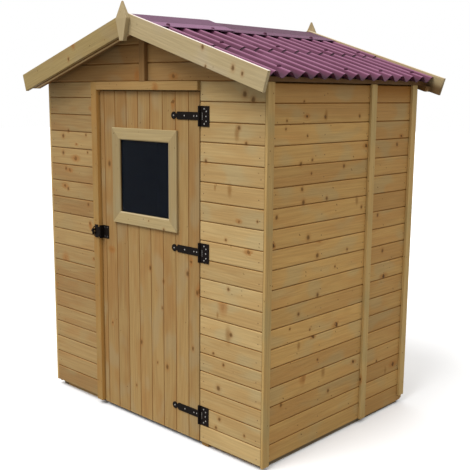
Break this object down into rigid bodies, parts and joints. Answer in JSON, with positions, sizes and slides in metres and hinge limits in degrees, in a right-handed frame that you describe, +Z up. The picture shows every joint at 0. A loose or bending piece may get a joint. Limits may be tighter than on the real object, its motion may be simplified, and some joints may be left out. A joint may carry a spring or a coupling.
{
  "type": "wooden garden shed",
  "caption": "Small garden shed with tongue and groove timber walls, a glazed boarded door on tee hinges, a hasp, and a gable roof of corrugated sheets with bargeboards and finials.",
  "frame": {"origin": "middle of the footprint at ground level, under the roof's outline", "axes": "+X to the right along the door front, +Y from the front to the back, +Z up"},
  "size_m": [1.7968, 1.432, 2.0918],
  "materials": {
    "clad_wood": "oiled pine boards",
    "door_wood": "oiled pine boards",
    "trim_wood": "oiled planed pine",
    "barge_wood": "pale planed pine",
    "frame_wood": "sawn pine",
    "sole_wood": "dark weathered timber",
    "roof_sheet": "matt corrugated bitumen fibre sheet",
    "pane": "dark clear pane",
    "ironwork": "black coated steel"
  },
  "bodies": {
    "shed": {"side_soles": "sole_wood", "end_soles": "sole_wood", "front_left_panel": "clad_wood", "front_right_panel": "clad_wood", "front_gable": "clad_wood", "right_wall": "clad_wood", "left_wall": "clad_wood", "back_wall": "clad_wood", "back_gable": "clad_wood", "end_studs": "frame_wood", "end_rails": "frame_wood", "side_studs": "frame_wood", "side_rails": "frame_wood", "gable_rails": "frame_wood", "gable_posts": "frame_wood", "gable_rafters": "frame_wood", "door_jamb": "trim_wood", "door_post": "trim_wood", "door_header": "trim_wood", "corner_trims": "trim_wood", "side_battens": "trim_wood", "gable_batten": "trim_wood", "back_batten": "trim_wood", "purlins": "frame_wood", "verge_rafters": "frame_wood", "lower_sheet_right": "roof_sheet", "lower_sheet_left": "roof_sheet", "upper_sheet_right": "roof_sheet", "upper_sheet_left": "roof_sheet", "ridge_cap_front": "roof_sheet", "ridge_cap_rear": "roof_sheet", "bargeboards_right": "barge_wood", "bargeboards_left": "barge_wood", "finials": "barge_wood", "hinge_plates": "ironwork", "staple": "ironwork"},
    "door": {"door_leaf": "door_wood", "door_ledges": "frame_wood", "door_brace": "frame_wood", "window_rails": "barge_wood", "window_stiles": "barge_wood", "window_bead": "frame_wood", "window_pane": "pane", "hinge_straps": "ironwork", "hasp_bracket": "ironwork"},
    "hasp": {"hasp_leaf": "ironwork"}
  },
  "joints": [
    {"name": "door_swing", "type": "hinge", "parent": "shed", "child": "door", "pos_m": [0.394, -0.594, 0.857], "axis": [0, 0, 1], "range_deg": [0, 160]},
    {"name": "hasp_swing", "type": "hinge", "parent": "door", "child": "hasp", "pos_m": [-0.328, -0.612, 0.96], "axis": [0, 0, 1], "range_deg": [0, 150]}
  ]
}
